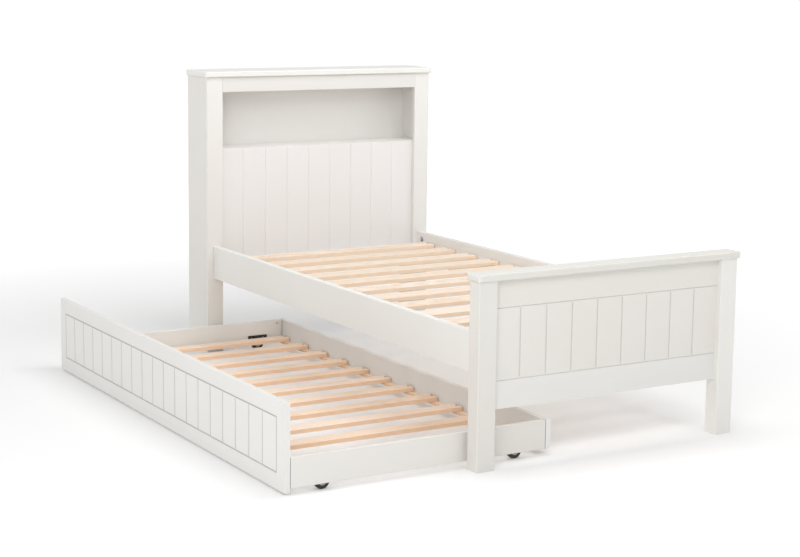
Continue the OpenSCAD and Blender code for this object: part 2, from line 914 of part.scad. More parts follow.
// A folded steel bracket: a bridge over the wheel, a cheek on each side of it, and a flange
// that lies against the end board round the pocket
module caster_bracket(end, x) {
    color(dark_steel) in_frame() at_caster(end, x) difference() {
        union() {
            difference() {
                translate([-bracket_w / 2, 0, flange_low])
                    cube([bracket_w, bracket_t, flange_top - flange_low]);
                translate([-pocket_half, -past, flange_low - past])
                    cube([2 * pocket_half, bracket_t + 2 * past, bridge_low - flange_low + past]);
            }
            translate([-cheek_w / 2, -wheel_sink, bridge_low]) cube([cheek_w, bracket_depth, bracket_t]);
            for (y = [-wheel_sink, cheek_in_y - bracket_t]) {
                translate([-cheek_w / 2, y, cheek_low]) cube([cheek_w, bracket_t, bridge_top - cheek_low]);
            }
        }
        rod_y([0, -wheel_sink - past, 0], bracket_depth + 2 * past, axle_d + 2 * fixing_fit);
        caster_screw_places() screw_hole(caster_screw_len);
    }
}

module caster_screws() {
    color(zinc) in_frame() at_casters() caster_screw_places() wood_screw(caster_screw_len);
}

module caster_axles() {
    color(zinc) in_frame() at_casters() {
        rod_y([0, -wheel_sink, 0], bracket_depth, axle_d);
        rod_y([0, cheek_in_y, 0], axle_head_t, axle_head_d);
    }
}

// A ring about the axle, from its section in radius and distance along the axle
module turned() {
    rotate([-90, 0, 0]) rotate_extrude($fn = wheel_fn) children();
}

module wheel_tyre(end, x) {
    crown = 3;
    depth = wheel_r - hub_d / 2;
    color(black) in_frame() at_caster(end, x) turned() translate([hub_d / 2, wheel_near]) {
        square([depth - crown, wheel_w]);
        translate([0, crown]) square([depth, wheel_w - 2 * crown]);
        for (y = [crown, wheel_w - crown]) {
            translate([depth - crown, y]) circle(r = crown, $fn = arc_fn);
        }
    }
}

module wheel_hub(end, x) {
    rim = 3;
    dish = 2;
    bore_r = axle_d / 2 + axle_fit;
    color(hub_cream) in_frame() at_caster(end, x) turned() {
        translate([bore_r, wheel_near]) square([axle_d / 4, wheel_w]);
        translate([bore_r, wheel_near + dish]) square([hub_d / 2 - bore_r, wheel_w - 2 * dish]);
        translate([hub_d / 2 - rim, wheel_near]) square([rim, wheel_w]);
    }
}

headboard_stile(LEFT);  // headboard_stile_left
headboard_stile(RIGHT);  // headboard_stile_right
headboard_side(LEFT);  // headboard_side_left
headboard_side(RIGHT);  // headboard_side_right
headboard_cap();
headboard_top_rail();
headboard_shelf();
headboard_panel();
headboard_back_panel();
headboard_dowels();
back_panel_screws();
footboard_post(LEFT);  // footboard_post_left
footboard_post(RIGHT);  // footboard_post_right
footboard_cap();
foot_rail(foot_top_rail_z, foot_top_rail_h);  // footboard_top_rail
foot_rail(foot_bottom_z, foot_bottom_rail_h);  // footboard_bottom_rail
footboard_panel();
footboard_dowels();
side_rail(LEFT);  // side_rail_left
side_rail(RIGHT);  // side_rail_right
slat_ledger(LEFT);  // slat_ledger_left
slat_ledger(RIGHT);  // slat_ledger_right
bed_slats();
bed_slat_screws();
ledger_screws();
bed_bolts();
bed_bolt_nuts();
threaded_inserts();
trundle_front_panel();
trundle_end_board(trundle_y);  // trundle_foot_end
trundle_end_board(head_end_in_y);  // trundle_head_end
trundle_back_board();
trundle_ledger(front_in_x);  // trundle_ledger_front
trundle_ledger(back_in_x - ledger_w);  // trundle_ledger_back
trundle_slats();
trundle_slat_screws();
trundle_ledger_screws();
trundle_corner_bolts();
trundle_barrel_nuts();
trundle_cam_locks();
trundle_cam_pins();
caster_bracket("foot", wheel_front_x);  // caster_bracket_foot_front
caster_bracket("foot", wheel_back_x);  // caster_bracket_foot_back
caster_bracket("head", wheel_front_x);  // caster_bracket_head_front
caster_bracket("head", wheel_back_x);  // caster_bracket_head_back
caster_screws();
caster_axles();
wheel_tyre("foot", wheel_front_x);  // wheel_tyre_foot_front
wheel_tyre("foot", wheel_back_x);  // wheel_tyre_foot_back
wheel_tyre("head", wheel_front_x);  // wheel_tyre_head_front
wheel_tyre("head", wheel_back_x);  // wheel_tyre_head_back
wheel_hub("foot", wheel_front_x);  // wheel_hub_foot_front
wheel_hub("foot", wheel_back_x);  // wheel_hub_foot_back
wheel_hub("head", wheel_front_x);  // wheel_hub_head_front
wheel_hub("head", wheel_back_x);  // wheel_hub_head_back
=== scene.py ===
"""A single bed with a bookcase headboard and a trundle that rolls out on four wheels.

Lengths are in metres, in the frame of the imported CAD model."""

import math

import bmesh
import bpy
from mathutils import Matrix, Vector


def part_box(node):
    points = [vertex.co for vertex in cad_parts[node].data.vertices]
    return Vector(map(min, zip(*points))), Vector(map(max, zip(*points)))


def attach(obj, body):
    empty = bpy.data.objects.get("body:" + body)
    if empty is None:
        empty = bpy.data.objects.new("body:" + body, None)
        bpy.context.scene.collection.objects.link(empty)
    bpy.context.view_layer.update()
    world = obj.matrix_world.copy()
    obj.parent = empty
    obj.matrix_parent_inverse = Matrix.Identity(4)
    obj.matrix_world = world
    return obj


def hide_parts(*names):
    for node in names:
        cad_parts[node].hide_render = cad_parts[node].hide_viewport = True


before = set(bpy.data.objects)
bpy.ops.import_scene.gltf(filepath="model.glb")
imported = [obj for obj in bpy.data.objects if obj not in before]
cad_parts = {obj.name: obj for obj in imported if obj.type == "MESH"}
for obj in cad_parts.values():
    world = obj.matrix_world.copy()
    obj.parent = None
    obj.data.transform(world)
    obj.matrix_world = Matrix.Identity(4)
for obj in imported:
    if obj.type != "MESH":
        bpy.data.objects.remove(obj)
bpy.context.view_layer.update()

MM = 0.001

# ---- Camera ----

CAMERA_AT = (-3.086, -5.378, 1.514)
# Its turns, in degrees
CAMERA_YAW = 31.04
CAMERA_PITCH = 8.66
CAMERA_ROLL = 0.72
# Its lens, in millimetres, and how far the view is shifted up, as a share of its width
CAMERA_LENS = 78.8
CAMERA_RISE = -0.05
# How far the camera sees, which is the floor's width too
FLOOR_SIZE = 400


def make_camera():
    data = bpy.data.cameras.new("camera")
    data.lens = CAMERA_LENS
    data.shift_y = CAMERA_RISE
    data.clip_end = FLOOR_SIZE
    camera = bpy.data.objects.new("camera", data)
    bpy.context.scene.collection.objects.link(camera)
    turn = Matrix.Rotation(math.radians(-CAMERA_YAW), 4, "Z")
    tilt = Matrix.Rotation(math.radians(90 - CAMERA_PITCH), 4, "X")
    roll = Matrix.Rotation(math.radians(CAMERA_ROLL), 4, "Z")
    camera.matrix_world = Matrix.Translation(CAMERA_AT) @ turn @ tilt @ roll
    bpy.context.scene.camera = camera


make_camera()

# ---- Light and floor ----

# The sky's strength, and how it changes towards +X and +Y
SKY_LEVEL = 0.589
SKY_LEAN = (-0.245, 0.241, 0.0)
# The floor's own glow near the bed and far from it
FLOOR_GLOW_NEAR = 0.093
FLOOR_GLOW_FAR = 0.51
GLOW_FROM, GLOW_TO = 1.2, 4.6
# Each lamp's name, its place, what it aims at, its size and its power in watts
LAMPS = (
    ("front_high", (0.6, -4.5, 4.0), (0.3, 1.0, 0.8), (3.0, 2.0), 39.7),
    ("head_front", (-2.5, -3.5, 2.2), (0.3, 1.0, 0.9), (1.5, 1.5), 45.3),
    ("over_slats", (0.3, -0.6, 3.4), (0.3, 1.0, 0.9), (2.0, 1.5), 44.5),
    ("right_high", (4.0, -2.0, 3.2), (0.0, 0.4, 0.6), (3.0, 2.0), 33.1),
    ("left_high", (-4.0, -1.0, 3.5), (0.0, 0.0, 0.4), (3.0, 2.0), 11.8),
)


def area_light(name, at, towards, size, power):
    data = bpy.data.lights.new(name, "AREA")
    data.shape = "RECTANGLE"
    data.size, data.size_y = size
    data.energy = power
    lamp = bpy.data.objects.new(name, data)
    bpy.context.scene.collection.objects.link(lamp)
    lamp.location = at
    lamp.rotation_euler = (Vector(towards) - Vector(at)).to_track_quat("-Z", "Y").to_euler()


def make_light():
    world = bpy.data.worlds.new("studio")
    world.use_nodes = True
    tree = world.node_tree
    sky = tree.nodes["Background"]
    sky.inputs["Color"].default_value = (1.0, 1.0, 1.0, 1)
    lean = tree.nodes.new("ShaderNodeVectorMath")
    lean.operation = "DOT_PRODUCT"
    lean.inputs[1].default_value = SKY_LEAN
    tree.links.new(tree.nodes.new("ShaderNodeTexCoord").outputs["Generated"], lean.inputs[0])
    level = tree.nodes.new("ShaderNodeMath")
    level.inputs[1].default_value = SKY_LEVEL
    tree.links.new(lean.outputs["Value"], level.inputs[0])
    tree.links.new(level.outputs[0], sky.inputs["Strength"])
    bpy.context.scene.world = world
    bpy.context.scene.view_settings.view_transform = "Standard"
    for lamp in LAMPS:
        area_light(*lamp)


make_light()

# ---- Material graphs ----


class Graph:
    """A material's node tree, with short calls for the nodes that are used here."""

    def __init__(self, name):
        self.material = bpy.data.materials.new(name)
        self.material.use_nodes = True
        self.tree = self.material.node_tree
        self.shader = self.tree.nodes["Principled BSDF"]

    def node(self, kind, **settings):
        made = self.tree.nodes.new("ShaderNode" + kind)
        for key, value in settings.items():
            setattr(made, key, value)
        return made

    def put(self, socket, value):
        if isinstance(value, bpy.types.NodeSocket):
            self.tree.links.new(value, socket)
        else:
            socket.default_value = value

    def math(self, operation, a, b=0.0, c=0.0):
        made = self.node("Math", operation=operation)
        for socket, value in zip(made.inputs, (a, b, c)):
            self.put(socket, value)
        return made.outputs[0]

    def vector(self, operation, a, b=(0, 0, 0)):
        made = self.node("VectorMath", operation=operation)
        self.put(made.inputs[0], a)
        self.put(made.inputs[1], b)
        return made.outputs["Value" if operation == "LENGTH" else "Vector"]

    def split(self, vector):
        made = self.node("SeparateXYZ")
        self.put(made.inputs[0], vector)
        return made.outputs

    def join(self, x, y, z):
        made = self.node("CombineXYZ")
        for socket, value in zip(made.inputs, (x, y, z)):
            self.put(socket, value)
        return made.outputs[0]

    def place(self):
        """Where a point is on its body, in metres."""
        return self.node("TexCoord").outputs["Object"]

    def facing(self):
        """The way the surface faces on its body."""
        return self.node("TexCoord").outputs["Normal"]

    def noise(self, at, scale, detail=3.0, roughness=0.55, distortion=0.0):
        made = self.node("TexNoise")
        self.put(made.inputs["Vector"], at)
        self.put(made.inputs["Scale"], scale)
        self.put(made.inputs["Detail"], detail)
        self.put(made.inputs["Roughness"], roughness)
        self.put(made.inputs["Distortion"], distortion)
        return made.outputs["Fac"]

    def random(self, seed):
        made = self.node("TexWhiteNoise", noise_dimensions="1D")
        self.put(made.inputs["W"], seed)
        return made.outputs["Value"]

    def ramp(self, value, from_lo, from_hi, to_lo=0.0, to_hi=1.0, smooth=True):
        kind = "SMOOTHSTEP" if smooth else "LINEAR"
        made = self.node("MapRange", interpolation_type=kind)
        for socket, number in zip(made.inputs, (value, from_lo, from_hi, to_lo, to_hi)):
            self.put(socket, number)
        return made.outputs["Result"]

    def mix(self, share, a, b):
        made = self.node("Mix", data_type="RGBA")
        self.put(made.inputs["Factor"], share)
        colours = [socket for socket in made.inputs if socket.type == "RGBA"]
        self.put(colours[0], a)
        self.put(colours[1], b)
        return next(socket for socket in made.outputs if socket.type == "RGBA")

    def bump(self, height, strength, depth, under=None):
        made = self.node("Bump")
        made.inputs["Strength"].default_value = strength
        made.inputs["Distance"].default_value = depth
        self.put(made.inputs["Height"], height)
        if under is not None:
            self.put(made.inputs["Normal"], under)
        return made.outputs["Normal"]

    def finish(self, colour, roughness, normal=None, **uniform):
        """Joins the shader up. The uniform values go straight onto its own sockets."""
        self.put(self.shader.inputs["Base Color"], colour)
        self.put(self.shader.inputs["Roughness"], roughness)
        if normal is not None:
            self.put(self.shader.inputs["Normal"], normal)
        for key, value in uniform.items():
            self.shader.inputs[key.replace("_", " ")].default_value = value
        return self.material


def rgb(red, green, blue):
    return (red, green, blue, 1.0)


def stretch(graph, at, along, factor):
    """Squeezes the pattern's coordinates along one axis, so that the pattern runs that way."""
    scale = [1.0, 1.0, 1.0]
    scale["xyz".index(along)] = factor
    return graph.vector("MULTIPLY", at, tuple(scale))


def edge_distance(graph, at, lo, hi):
    """How far a point on a board's surface is from the board's nearest edge."""
    centre, half = (lo + hi) / 2, (hi - lo) / 2
    off_centre = graph.vector("ABSOLUTE", graph.vector("SUBTRACT", at, tuple(centre)))
    x, y, z = graph.split(graph.vector("SUBTRACT", tuple(half), off_centre))
    low, high = graph.math("MINIMUM", x, y), graph.math("MAXIMUM", x, y)
    return graph.math("MAXIMUM", low, graph.math("MINIMUM", high, z))


# ---- Paint ----

PAINT = rgb(0.775, 0.765, 0.742)
PAINT_WARM = rgb(0.765, 0.75, 0.722)
PAINT_WORN = rgb(0.66, 0.60, 0.51)
# The colour of the painted shade inside the V grooves
PAINT_GROOVE_SHADE = rgb(0.36, 0.34, 0.31)
# The colour of the painted shadow in the gap at a butt joint
PAINT_SEAM_SHADOW = rgb(0.10, 0.095, 0.085)
# How far the painted shadow of the gap at a butt joint runs along the board
SEAM_SHADOW_WIDTH = 2.4 * MM
BOARD_ROUND_OFF = 0.8 * MM
# How fine the coat's patterns are: its clouds, its rubbed patches, the grain, the brush strokes and the peel
CLOUD, PATCH, GRAIN_LINES, STROKES, PEEL = 2.3, 26.0, 130.0, 520.0, 900.0


def toned(colour, tone):
    """A colour with each of its channels scaled."""
    return rgb(*(value * share for value, share in zip(colour, tone)))


def paint(node, along, groove_shade_share, tone, seam_shadowed):
    """Satin paint over planed boards: faint grain, brush strokes, and edges that are rubbed thin. It also
    carries painted light and shade: painted shade in the V grooves, a painted shadow of the joint's gap at
    the ends of some boards, and a board tone that is partly painted light.
    """
    lo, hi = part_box(node)
    g = Graph("paint_" + node)
    at = g.place()
    seed = hash_of(node)
    moved = g.vector("ADD", at, (seed, seed * 0.7, seed * 1.3))
    run = stretch(g, moved, along, 0.05)
    cloud = g.noise(moved, CLOUD, 4.0)
    grain = g.noise(run, GRAIN_LINES, 4.0, 0.6, 0.4)
    strokes = g.noise(stretch(g, moved, along, 0.02), STROKES, 2.0)
    peel = g.noise(moved, PEEL, 2.0)
    edge = edge_distance(g, at, lo, hi)
    patches = g.ramp(g.noise(moved, PATCH, 5.0, 0.7), 0.52, 0.72)
    rubbed = g.math("MULTIPLY", g.ramp(edge, 0.4 * MM, 3.5 * MM, 1.0, 0.0), patches)
    # The board's tone scales the paint: partly its own tint, partly painted light and shade for how the
    # light falls on that board
    colour = g.mix(g.ramp(cloud, 0.3, 0.7), toned(PAINT, tone), toned(PAINT_WARM, tone))
    colour = g.mix(g.ramp(grain, 0.60, 0.80, 0.0, 0.10), colour, PAINT_WORN)
    # Painted shade in the V grooves: faces that slope away from the board's face are darkened, standing in
    # for the shade inside the grooves
    if groove_shade_share:
        x, y, z = g.split(g.vector("ABSOLUTE", g.facing()))
        flat = g.math("MAXIMUM", g.math("MAXIMUM", x, y), z)
        groove_shade_mask = g.math("MULTIPLY", g.ramp(flat, 0.88, 0.97, 1.0, 0.0), g.ramp(edge, 4 * MM, 7 * MM))
        colour = g.mix(g.math("MULTIPLY", groove_shade_mask, groove_shade_share), colour, PAINT_GROOVE_SHADE)
    colour = g.mix(g.math("MULTIPLY", rubbed, 0.45), colour, PAINT_WORN)
    # Painted shadow: a dark band at each end of the board, standing in for the shade in the gap where it
    # butts against the next board
    if seam_shadowed:
        off_middle = g.math("ABSOLUTE", g.math("SUBTRACT", g.split(at)[0], (lo.x + hi.x) / 2))
        from_end = g.math("SUBTRACT", (hi.x - lo.x) / 2, off_middle)
        colour = g.mix(g.ramp(from_end, SEAM_SHADOW_WIDTH / 2, SEAM_SHADOW_WIDTH, 1.0, 0.0), colour, PAINT_SEAM_SHADOW)
    gloss = g.math("ADD", g.ramp(cloud, 0.3, 0.7, 0.36, 0.44), g.math("MULTIPLY", rubbed, 0.18))
    gloss = g.math("ADD", gloss, g.ramp(strokes, 0.3, 0.7, -0.03, 0.03))
    normal = g.bump(grain, 0.16, 0.5 * MM)
    normal = g.bump(strokes, 0.10, 0.2 * MM, normal)
    normal = g.bump(peel, 0.05, 0.2 * MM, normal)
    return g.finish(colour, gloss, normal, Coat_Weight=0.12, Coat_Roughness=0.32)


def hash_of(text):
    """A number between 0 and 10 that a name always gives."""
    return sum(ord(letter) * (place + 3) for place, letter in enumerate(text)) % 997 / 99.7


# The axis that each painted board's grain runs along
GRAIN = {
    "x": ["headboard_cap", "headboard_top_rail", "headboard_shelf", "footboard_cap", "footboard_top_rail",
          "footboard_bottom_rail", "trundle_foot_end", "trundle_head_end"],
    "y": ["side_rail_left", "side_rail_right", "trundle_back_board"],
    "z": ["headboard_stile_left", "headboard_stile_right", "headboard_side_left", "headboard_side_right",
          "headboard_panel", "headboard_back_panel", "footboard_post_left", "footboard_post_right",
          "footboard_panel", "trundle_front_panel"],
}
# How much lighter, darker, warmer or cooler than the rest each board's coat is. This is partly painted
# light: the lighter and darker boards are lit and shaded copies of one paint, standing in for how the light
# falls on each, and partly each board's own tint
PLAIN_TONE = (1.0, 1.0, 1.0)
TONE_AND_PAINTED_LIGHT = {
    "headboard_top_rail": (0.92, 0.92, 0.92), "headboard_back_panel": (1.12, 1.12, 1.12),
    "headboard_shelf": (1.12, 1.12, 1.12), "headboard_side_left": (0.96, 0.95, 0.93),
    "headboard_panel": (1.0, 1.0, 1.025), "headboard_stile_left": (0.98, 0.98, 0.98),
    "headboard_stile_right": (0.98, 0.98, 0.98), "side_rail_left": (1.04, 1.05, 1.05),
    "footboard_cap": (0.93, 0.925, 0.90), "footboard_top_rail": (0.97, 0.955, 0.93),
    "footboard_panel": (0.98, 0.965, 0.945), "footboard_post_left": (0.95, 0.94, 0.92),
    "footboard_post_right": (1.05, 1.05, 1.04), "trundle_foot_end": (1.0, 0.99, 0.97),
    "trundle_head_end": (0.99, 1.005, 1.01), "trundle_back_board": (1.05, 1.07, 1.09),
}
# The boards with a painted shadow of the joint's gap at each end
SEAM_SHADOWED = ("trundle_foot_end", "trundle_head_end")
# How strongly painted shade darkens each board's V grooves, standing in for the shade that falls inside them
GROOVE_SHADE = {"footboard_panel": 0.32, "footboard_top_rail": 0.32, "footboard_bottom_rail": 0.32,
           "trundle_front_panel": 0.58}


def dress(node, material, round_off=0.0):
    """Puts a material on a CAD node, and rounds its sharp edges off a little."""
    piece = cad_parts[node]
    if piece.data.materials:
        for slot in piece.material_slots:
            slot.material = material
    else:
        piece.data.materials.append(material)
    if round_off:
        bevel = piece.modifiers.new("round_off", "BEVEL")
        bevel.width = round_off
        bevel.segments = 2
        bevel.limit_method = "ANGLE"
        bevel.angle_limit = math.radians(50)
        bevel.harden_normals = True


for axis, nodes in GRAIN.items():
    for node in nodes:
        coat = paint(node, axis, GROOVE_SHADE.get(node, 0.0), TONE_AND_PAINTED_LIGHT.get(node, PLAIN_TONE), node in SEAM_SHADOWED)
        dress(node, coat, BOARD_ROUND_OFF)

# ---- Bare wood ----

PINE_PALE = rgb(0.86, 0.75, 0.645)
PINE_GOLD = rgb(0.82, 0.675, 0.535)
PINE_PINK = rgb(0.92, 0.765, 0.645)
PINE_AMBER = rgb(0.86, 0.67, 0.51)
# The sides' colours are darker and more saturated than the tops: partly painted shade on the sides, partly
# their own edge tone
PINE_SIDE_PALE_SHADE = rgb(0.84, 0.65, 0.48)
PINE_SIDE_SHADE = rgb(0.83, 0.535, 0.33)
PINE_LATE = rgb(0.70, 0.47, 0.30)
PINE_KNOT = rgb(0.27, 0.12, 0.05)
# How far a board's sides take the side colour: partly painted shade for the sides that do not face up,
# partly the sawn edge's own tone
SIDE_SHADE_SHARE = 0.7
RING_WIDTH = 5.2 * MM
# How fine the fibres are, and how close the knots
FIBRE = 1400.0
KNOTS = 3.4


def pine(name, tones, first_y=0.0, pitch=1.0, along="x"):
    """Planed pine. Each board has its own tone, and its growth rings lie about a pith below it. Its sides
    are darker than its top, partly its own edge tone and partly painted shade.
    """
    pale, gold, side_shade = tones
    g = Graph(name)
    at = g.place()
    x, y, z = g.split(at)
    long, wide = (x, y) if along == "x" else (y, x)
    board = g.math("FLOOR", g.math("DIVIDE", g.math("SUBTRACT", y, first_y), pitch)) if along == "x" else 0.0
    tone = g.random(g.math("ADD", board, 3.1))
    lean = g.random(g.math("ADD", board, 17.7))
    shift = g.math("MULTIPLY", g.random(g.math("ADD", board, 41.3)), 9.0)
    own_long = g.math("ADD", long, shift)
    across = g.math("MODULO", g.math("SUBTRACT", wide, first_y), pitch) if along == "x" else wide
    drift = g.noise(g.join(g.math("MULTIPLY", own_long, 1.2), shift, 0.0), 1.0, 2.0)
    pith_wide = g.math("MULTIPLY_ADD", lean, 0.09, -0.02)
    side = g.math("SUBTRACT", across, pith_wide)
    wander = g.ramp(drift, 0.2, 0.8, -0.022, 0.022, smooth=False)
    down = g.math("ADD", g.math("SUBTRACT", z, g.math("MULTIPLY_ADD", tone, 0.02, -0.045)), wander)
    wave = g.noise(g.join(g.math("MULTIPLY", own_long, 5.0), wide, z), 30.0, 3.0)
    ragged = g.ramp(wave, 0.2, 0.8, -1.2 * MM, 1.2 * MM)
    radius = g.math("ADD", g.vector("LENGTH", g.join(side, down, 0.0)), ragged)
    ring = g.math("FRACT", g.math("DIVIDE", radius, RING_WIDTH))
    late = g.math("MULTIPLY", g.ramp(ring, 0.35, 0.92), g.ramp(ring, 0.94, 1.0, 1.0, 0.0))
    fibre = g.noise(g.join(g.math("MULTIPLY", own_long, 0.03), wide, z), FIBRE, 2.0)
    spot = g.node("TexVoronoi", feature="F1")
    spread = g.join(g.math("MULTIPLY", own_long, 0.62), g.math("MULTIPLY", board, 7.0), across)
    g.put(spot.inputs["Vector"], spread)
    g.put(spot.inputs["Scale"], KNOTS)
    knot = g.ramp(spot.outputs["Distance"], 0.018, 0.034, 1.0, 0.0)
    halo = g.ramp(spot.outputs["Distance"], 0.03, 0.12, 1.0, 0.0)
    colour = g.mix(g.ramp(tone, 0.0, 1.0, 0.0, 0.75), pale, gold)
    colour = g.mix(g.math("MULTIPLY", late, g.ramp(lean, 0.0, 1.0, 0.22, 0.42)), colour, PINE_LATE)
    colour = g.mix(g.ramp(fibre, 0.45, 0.8, 0.0, 0.16), colour, PINE_LATE)
    colour = g.mix(g.math("MULTIPLY", halo, 0.35), colour, PINE_LATE)
    colour = g.mix(g.math("MULTIPLY", knot, 0.85), colour, PINE_KNOT)
    # Painted shade: faces that do not face up take the darker side colour, standing in for the shade on the
    # boards' sides, partly their own edge tone
    up = g.math("ABSOLUTE", g.split(g.facing())[2])
    colour = g.mix(g.ramp(up, 0.3, 0.9, SIDE_SHADE_SHARE, 0.0), colour, side_shade)
    gloss = g.math("ADD", g.ramp(fibre, 0.2, 0.8, 0.52, 0.64), g.math("MULTIPLY", late, -0.08))
    normal = g.bump(fibre, 0.22, 0.3 * MM)
    normal = g.bump(late, 0.12, 0.4 * MM, normal)
    return g.finish(colour, gloss, normal)


def islands(node):
    """A CAD node's separate solids, each as the points of its corners, in order along Y and then X."""
    mesh = bmesh.new()
    mesh.from_mesh(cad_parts[node].data)
    bmesh.ops.remove_doubles(mesh, verts=mesh.verts, dist=1e-6)
    left, groups = set(mesh.verts), []
    while left:
        front = [left.pop()]
        group = []
        while front:
            vert = front.pop()
            group.append(vert.co.copy())
            for edge in vert.link_edges:
                other = edge.other_vert(vert)
                if other in left:
                    left.remove(other)
                    front.append(other)
        groups.append(group)
    mesh.free()

    def low_corner(group):
        return tuple(round(min(point[i] for point in group), 3) for i in (1, 0, 2))

    return sorted(groups, key=low_corner)


def span_of(group):
    """A solid's lowest and highest corners."""
    return Vector(map(min, zip(*group))), Vector(map(max, zip(*group)))


for node, tones in (("bed_slats", (PINE_PALE, PINE_GOLD, PINE_SIDE_PALE_SHADE)),
                    ("trundle_slats", (PINE_PINK, PINE_AMBER, PINE_SIDE_SHADE))):
    boards = [span_of(group) for group in islands(node)]
    pitch = boards[1][0].y - boards[0][0].y
    width = boards[0][1].y - boards[0][0].y
    dress(node, pine("pine_" + node, tones, boards[0][0].y - (pitch - width) / 2, pitch))
for node in ("slat_ledger_left", "slat_ledger_right", "trundle_ledger_front", "trundle_ledger_back"):
    dress(node, pine("pine_" + node, (PINE_PALE, PINE_GOLD, PINE_SIDE_SHADE), along="y"), 0.5 * MM)


def beech():
    """Beech pegs: pale, with short dark flecks along the peg."""
    g = Graph("beech")
    at = g.place()
    fleck = g.noise(stretch(g, at, "x", 0.15), 900.0, 2.0)
    cloud = g.noise(at, 60.0, 3.0)
    colour = g.mix(g.ramp(cloud, 0.3, 0.7), rgb(0.72, 0.52, 0.34), rgb(0.64, 0.43, 0.26))
    colour = g.mix(g.ramp(fleck, 0.58, 0.74, 0.0, 0.5), colour, rgb(0.38, 0.22, 0.12))
    return g.finish(colour, g.ramp(fleck, 0.3, 0.7, 0.5, 0.62), g.bump(fleck, 0.3, 0.2 * MM))


# ---- Metal, rubber and plastic ----


def plated(name, light, dark, rough, thread=0.0):
    """Plated metal: a cloudy passivated film, fine scratches, and a thread where there is one."""
    g = Graph(name)
    at = g.place()
    cloud = g.noise(at, 90.0, 4.0)
    scratch = g.noise(stretch(g, at, "y", 0.05), 2600.0, 2.0)
    colour = g.mix(g.ramp(cloud, 0.3, 0.7), light, dark)
    colour = g.mix(g.ramp(scratch, 0.62, 0.8, 0.0, 0.35), colour, light)
    film = g.ramp(cloud, 0.3, 0.7, rough, rough + 0.12)
    gloss = g.math("ADD", film, g.ramp(scratch, 0.3, 0.7, -0.04, 0.06))
    normal = g.bump(scratch, 0.12, 0.1 * MM)
    if thread:
        turn = g.math("MULTIPLY", g.split(at)[1], 2 * math.pi / thread)
        normal = g.bump(g.math("SINE", turn), 0.9, thread / 4, normal)
    return g.finish(colour, gloss, normal, Metallic=1.0)


def black_coat(node):
    """Satin black paint over folded steel, chipped along the edges."""
    lo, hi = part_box(node)
    g = Graph("coat_" + node)
    at = g.place()
    peel = g.noise(at, 700.0, 2.0)
    cloud = g.noise(at, 40.0, 4.0)
    near = g.ramp(edge_distance(g, at, lo, hi), 0.2 * MM, 1.8 * MM, 1.0, 0.0)
    chip = g.math("MULTIPLY", near, g.ramp(g.noise(at, 260.0, 4.0, 0.7), 0.5, 0.62))
    colour = g.mix(g.ramp(cloud, 0.3, 0.7), rgb(0.020, 0.020, 0.021), rgb(0.034, 0.033, 0.032))
    colour = g.mix(chip, colour, rgb(0.30, 0.29, 0.28))
    gloss = g.math("ADD", g.ramp(cloud, 0.3, 0.7, 0.32, 0.45), g.math("MULTIPLY", chip, -0.1))
    return g.finish(colour, gloss, g.bump(peel, 0.25, 0.2 * MM), Coat_Weight=0.2, Coat_Roughness=0.25)


def rubber():
    """Hard black rubber, scuffed grey round the tread."""
    g = Graph("rubber")
    at = g.place()
    grit = g.noise(at, 1500.0, 3.0)
    scuff = g.ramp(g.noise(at, 120.0, 4.0, 0.65), 0.46, 0.7)
    colour = g.mix(g.math("MULTIPLY", scuff, 0.6), rgb(0.018, 0.018, 0.019), rgb(0.075, 0.072, 0.068))
    gloss = g.math("ADD", g.ramp(grit, 0.3, 0.7, 0.5, 0.64), g.math("MULTIPLY", scuff, 0.16))
    return g.finish(colour, gloss, g.bump(grit, 0.3, 0.2 * MM))


def cream_plastic():
    """Moulded nylon with a faint mottle and a fine spark-eroded texture."""
    g = Graph("cream_plastic")
    at = g.place()
    cloud = g.noise(at, 70.0, 3.0)
    grit = g.noise(at, 2200.0, 2.0)
    colour = g.mix(g.ramp(cloud, 0.3, 0.7), rgb(0.66, 0.63, 0.54), rgb(0.58, 0.55, 0.46))
    normal = g.bump(grit, 0.2, 0.1 * MM)
    return g.finish(colour, g.ramp(grit, 0.3, 0.7, 0.36, 0.5), normal, Coat_Weight=0.05)


ZINC = plated("zinc", rgb(0.66, 0.67, 0.70), rgb(0.56, 0.58, 0.60), 0.24)
ZINC_THREAD = plated("zinc_thread", rgb(0.62, 0.63, 0.66), rgb(0.52, 0.54, 0.56), 0.3, 1.25 * MM)
BLACK_STEEL = plated("black_phosphate", rgb(0.075, 0.072, 0.07), rgb(0.04, 0.039, 0.038), 0.42)
BRASS = plated("brass", rgb(0.66, 0.47, 0.20), rgb(0.56, 0.38, 0.15), 0.3)
BEECH, RUBBER, PLASTIC = beech(), rubber(), cream_plastic()
CORNERS = ("foot_front", "foot_back", "head_front", "head_back")

for node, material in (("headboard_dowels", BEECH), ("footboard_dowels", BEECH), ("bed_bolts", ZINC_THREAD),
                       ("bed_bolt_nuts", ZINC), ("threaded_inserts", BRASS), ("trundle_cam_pins", ZINC)):
    dress(node, material)
for corner in CORNERS:
    node = "caster_bracket_" + corner
    dress(node, black_coat(node), 0.35 * MM)

# ---- Turned and formed pieces ----

# How many facets go round a turned fixing and round a wheel
TURN_STEPS = 48
WHEEL_STEPS = 144
TREAD_CUTS = 24
HUB_RIBS = 6
AXLE_GAP = 0.05 * MM
ANGLES = [2 * math.pi * step / TURN_STEPS for step in range(TURN_STEPS)]
# The half width of a driver's slot, as a share of its reach
BLADE = math.tan(math.radians(15))


# An outline gives its radius at an angle
def disc(radius):
    return lambda angle: radius


def hexagon(apothem):
    sixth = math.pi / 3
    return lambda angle: apothem / math.cos(angle % sixth - sixth / 2)


def slot(reach):
    def radius(angle):
        to_end = reach / max(abs(math.cos(angle)), BLADE)
        to_side = reach * BLADE / max(abs(math.sin(angle)), BLADE * BLADE)
        return min(to_end, to_side)

    return radius


